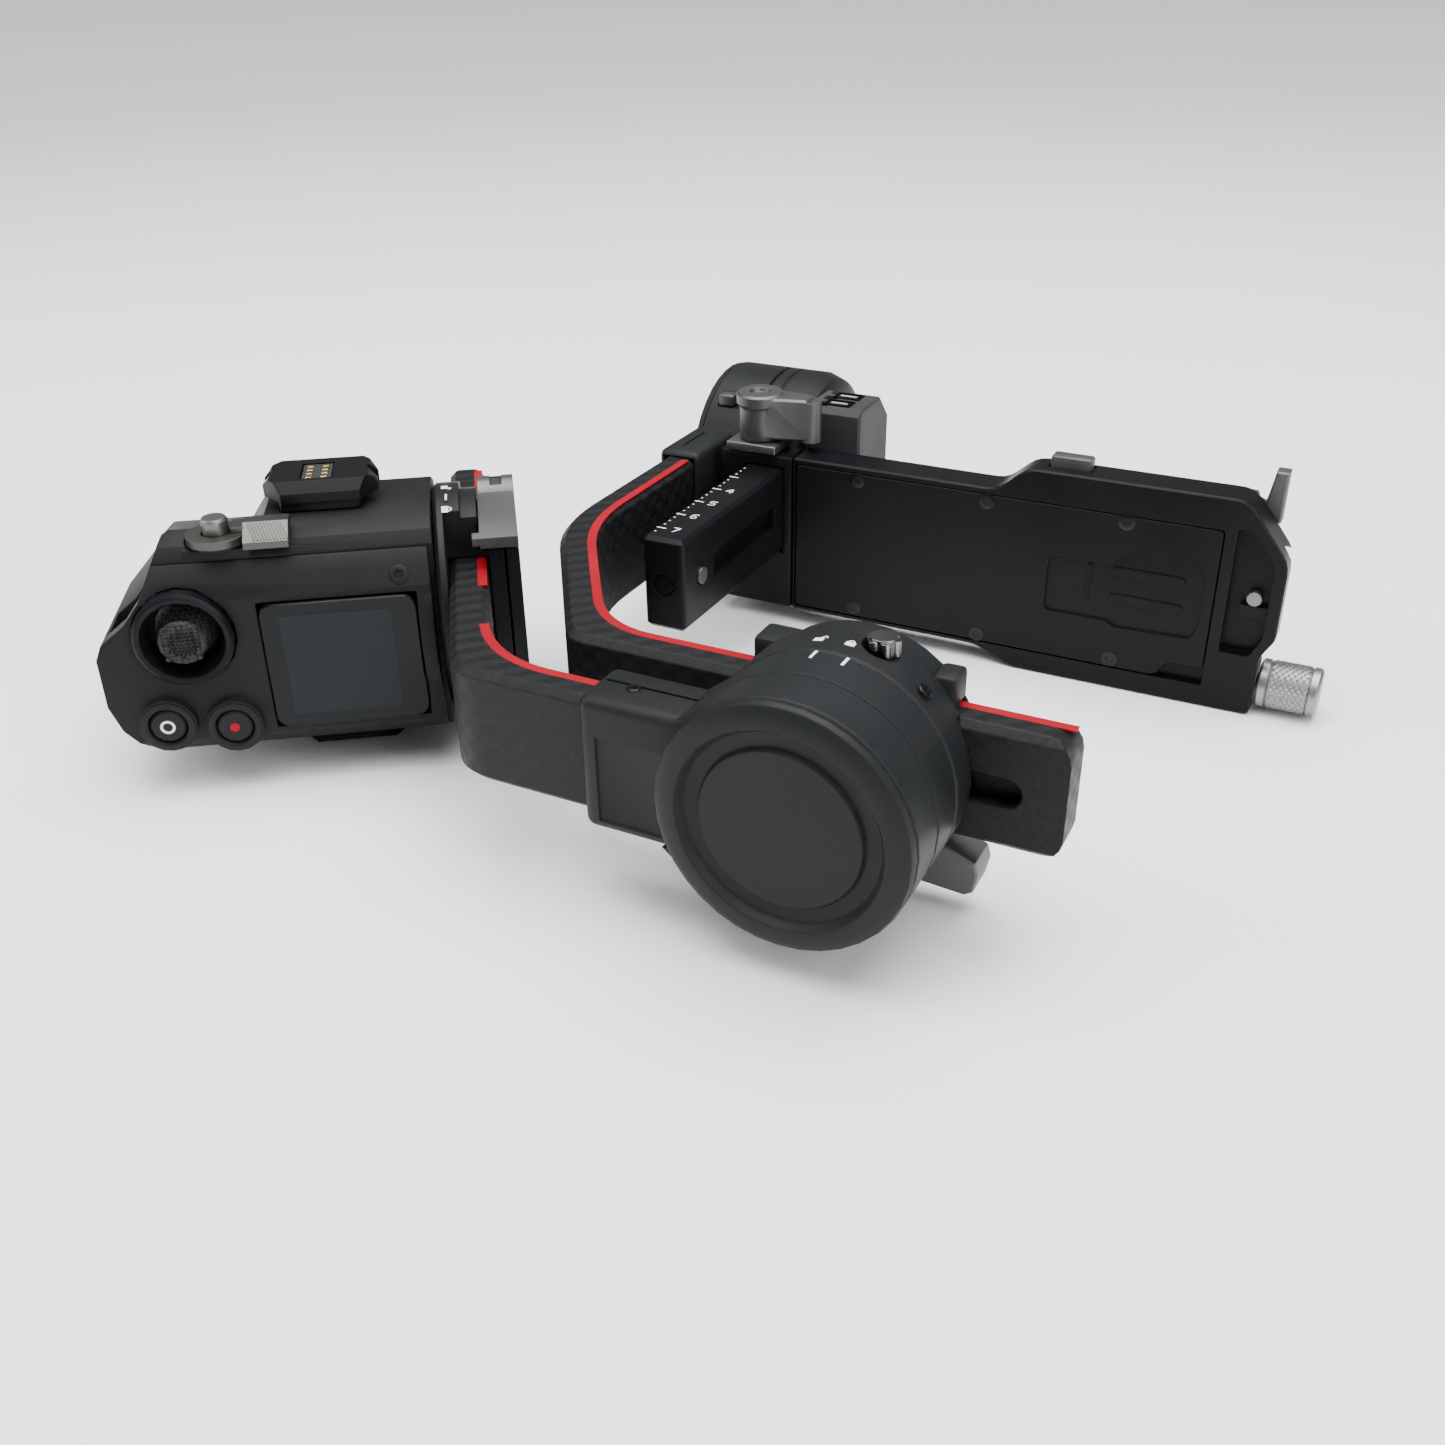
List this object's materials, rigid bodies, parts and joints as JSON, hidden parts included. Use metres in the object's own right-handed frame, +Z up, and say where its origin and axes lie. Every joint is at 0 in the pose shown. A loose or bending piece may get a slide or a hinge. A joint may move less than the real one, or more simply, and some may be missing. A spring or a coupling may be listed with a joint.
{
  "type": "camera gimbal",
  "caption": "Folding three-axis camera gimbal head with control handle, carbon arms, motors, sliding arms and a long camera base plate.",
  "frame": {"origin": "centre of the bounding box at table level", "axes": "+X along the camera base plate and the tilt axis, +Y along the roll axis away from the control side, +Z up from the table it lies on"},
  "size_m": [0.2694, 0.217, 0.068],
  "materials": {
    "shell": "fine matte black moulding",
    "motor_shell": "matte black anodised",
    "carbon": "matte woven carbon fibre with a red inlay line",
    "black_metal": "satin black anodised",
    "steel": "turned and polished",
    "grey_metal": "grey satin levers",
    "glass": "glossy black panel",
    "display": "display, switched off",
    "contacts": "gold-plated contacts",
    "board": "green circuit board",
    "rubber": "matte rubber",
    "windings": "copper windings",
    "label": "grey moulding"
  },
  "bodies": {
    "handle": {"handle_rear_shell": "shell", "handle_front_shell": "shell", "screen_glass": "glass", "display_panel": "display", "screen_frame": "black_metal", "main_circuit_board": "board", "joystick_ring": "black_metal", "grip_contact_block": "contacts", "upper_accessory_port": "black_metal", "upper_port_contacts": "contacts", "lower_accessory_port": "black_metal", "lower_port_contacts": "contacts", "pan_stator_core": "windings"},
    "pan_rotor_body": {"pan_rotor": "motor_shell", "pan_shaft": "steel"},
    "pan_arm_body": {"pan_arm": "carbon", "roll_motor_cap": "motor_shell", "roll_motor_housing": "motor_shell", "roll_stator_core": "windings"},
    "roll_rotor_body": {"roll_rotor": "motor_shell", "roll_shaft": "steel"},
    "roll_arm_body": {"roll_arm": "carbon", "tilt_motor_cap": "motor_shell", "tilt_motor_housing": "motor_shell", "tilt_stator_core": "windings"},
    "tilt_rotor_body": {"tilt_rotor": "motor_shell", "tilt_shaft": "steel", "port_box": "label", "vertical_arm": "black_metal", "arm_end_screw": "steel"},
    "carriage_body": {"carriage_block": "black_metal", "carriage_nut": "steel", "camera_base_plate": "black_metal", "plate_cover": "black_metal", "plate_slide_pin": "steel"},
    "joystick_base_body": {"joystick_base": "black_metal"},
    "joystick_body": {"joystick": "rubber"},
    "mode_button_body": {"mode_button": "rubber"},
    "record_button_body": {"record_button": "rubber"},
    "trigger_body": {"trigger": "black_metal"},
    "front_dial_body": {"front_dial": "grey_metal"},
    "grip_lock_lever_body": {"grip_lock_lever": "steel"},
    "grip_release_pin_body": {"grip_release_pin": "steel"},
    "pan_clamp_lever_body": {"pan_clamp_lever": "grey_metal"},
    "roll_clamp_lever_body": {"roll_clamp_lever": "grey_metal"},
    "roll_lock_knob_body": {"roll_lock_knob": "steel"},
    "tilt_lock_slider_body": {"tilt_lock_slider": "grey_metal"},
    "arm_stop_pin_body": {"arm_stop_pin": "steel"},
    "carriage_lever_body": {"carriage_lever": "grey_metal"},
    "fine_tune_knob_body": {"fine_tune_knob": "steel"},
    "plate_clamp_lever_body": {"plate_clamp_lever": "grey_metal"},
    "safety_button_body": {"safety_button": "black_metal"}
  },
  "joints": [
    {"name": "pan", "type": "hinge", "parent": "handle", "child": "pan_rotor_body", "pos_m": [-0.06285, -0.04328, 0.034], "axis": [0.807, 0.5906, 0], "continuous": true},
    {"name": "pan_arm_slide", "type": "slide", "parent": "pan_rotor_body", "child": "pan_arm_body", "axis": [0.5906, -0.807, 0], "range_m": [-0.01, 0.02]},
    {"name": "roll", "type": "hinge", "parent": "pan_arm_body", "child": "roll_rotor_body", "pos_m": [0.05655, -0.07168, 0.034], "axis": [0, 1, 0], "range_deg": [-240, 95]},
    {"name": "roll_arm_slide", "type": "slide", "parent": "roll_rotor_body", "child": "roll_arm_body", "axis": [1, 0, 0], "range_m": [-0.008, 0.015]},
    {"name": "tilt", "type": "hinge", "parent": "roll_arm_body", "child": "tilt_rotor_body", "pos_m": [-0.02875, 0.08132, 0.034], "axis": [1, 0, 0], "range_deg": [-112, 214]},
    {"name": "carriage_slide", "type": "slide", "parent": "tilt_rotor_body", "child": "carriage_body", "axis": [0, 1, 0], "range_m": [-0.045, 0]},
    {"name": "carriage_lever_turn", "type": "hinge", "parent": "carriage_body", "child": "carriage_lever_body", "pos_m": [-0.02045, 0.04912, 0.054], "axis": [0, 0, 1], "range_deg": [-90, 0]},
    {"name": "fine_tune", "type": "hinge", "parent": "carriage_body", "child": "fine_tune_knob_body", "pos_m": [0.12655, 0.04972, 0.007], "axis": [1, 0, 0], "continuous": true},
    {"name": "plate_clamp", "type": "hinge", "parent": "carriage_body", "child": "plate_clamp_lever_body", "pos_m": [0.10605, 0.05532, 0.048], "axis": [0, 1, 0], "range_deg": [0, 60]},
    {"name": "safety_button_press", "type": "slide", "parent": "carriage_body", "child": "safety_button_body", "axis": [0, 0, 1], "range_m": [-0.0015, 0], "stiffness_N_per_m": 300},
    {"name": "arm_stop_pin_press", "type": "slide", "parent": "tilt_rotor_body", "child": "arm_stop_pin_body", "axis": [1, 0, 0], "range_m": [-0.0018, 0], "stiffness_N_per_m": 300},
    {"name": "tilt_lock_slide", "type": "slide", "parent": "roll_arm_body", "child": "tilt_lock_slider_body", "axis": [1, 0, 0], "range_m": [0, 0.0034]},
    {"name": "roll_clamp", "type": "hinge", "parent": "roll_rotor_body", "child": "roll_clamp_lever_body", "pos_m": [0.06555, -0.06468, 0.0136], "axis": [0, 1, 0], "range_deg": [0, 75]},
    {"name": "roll_lock_turn", "type": "hinge", "parent": "roll_rotor_body", "child": "roll_lock_knob_body", "pos_m": [0.06385, -0.07128, 0.059], "axis": [0, 0, 1], "range_deg": [0, 90]},
    {"name": "pan_clamp", "type": "hinge", "parent": "pan_rotor_body", "child": "pan_clamp_lever_body", "pos_m": [-0.05606, -0.02716, 0.0546], "axis": [0.807, 0.5906, 0], "range_deg": [-75, 0]},
    {"name": "stick_side", "type": "hinge", "parent": "handle", "child": "joystick_base_body", "pos_m": [-0.0994, -0.08986, 0.0392], "axis": [0, 0, 1], "range_deg": [-12, 12], "stiffness_Nm_per_rad": 0.02},
    {"name": "stick_lift", "type": "hinge", "parent": "joystick_base_body", "child": "joystick_body", "pos_m": [-0.09845, -0.09115, 0.0392], "axis": [0.807, 0.5906, 0], "range_deg": [-12, 12], "stiffness_Nm_per_rad": 0.02},
    {"name": "mode_press", "type": "slide", "parent": "handle", "child": "mode_button_body", "axis": [-0.5906, 0.807, 0], "range_m": [0, 0.0008], "stiffness_N_per_m": 300},
    {"name": "record_press", "type": "slide", "parent": "handle", "child": "record_button_body", "axis": [-0.5906, 0.807, 0], "range_m": [0, 0.0008], "stiffness_N_per_m": 300},
    {"name": "trigger_pull", "type": "slide", "parent": "handle", "child": "trigger_body", "axis": [0.5906, -0.807, 0], "range_m": [0, 0.0025], "stiffness_N_per_m": 200},
    {"name": "front_dial_turn", "type": "hinge", "parent": "handle", "child": "front_dial_body", "pos_m": [-0.10078, -0.04056, 0.034], "axis": [0, 0, 1], "continuous": true},
    {"name": "grip_lock", "type": "hinge", "parent": "handle", "child": "grip_lock_lever_body", "pos_m": [-0.09195, -0.08378, 0.059], "axis": [0, 0, 1], "range_deg": [-60, 0]},
    {"name": "grip_release", "type": "slide", "parent": "handle", "child": "grip_release_pin_body", "axis": [0, 0, 1], "range_m": [-0.002, 0], "stiffness_N_per_m": 300}
  ]
}
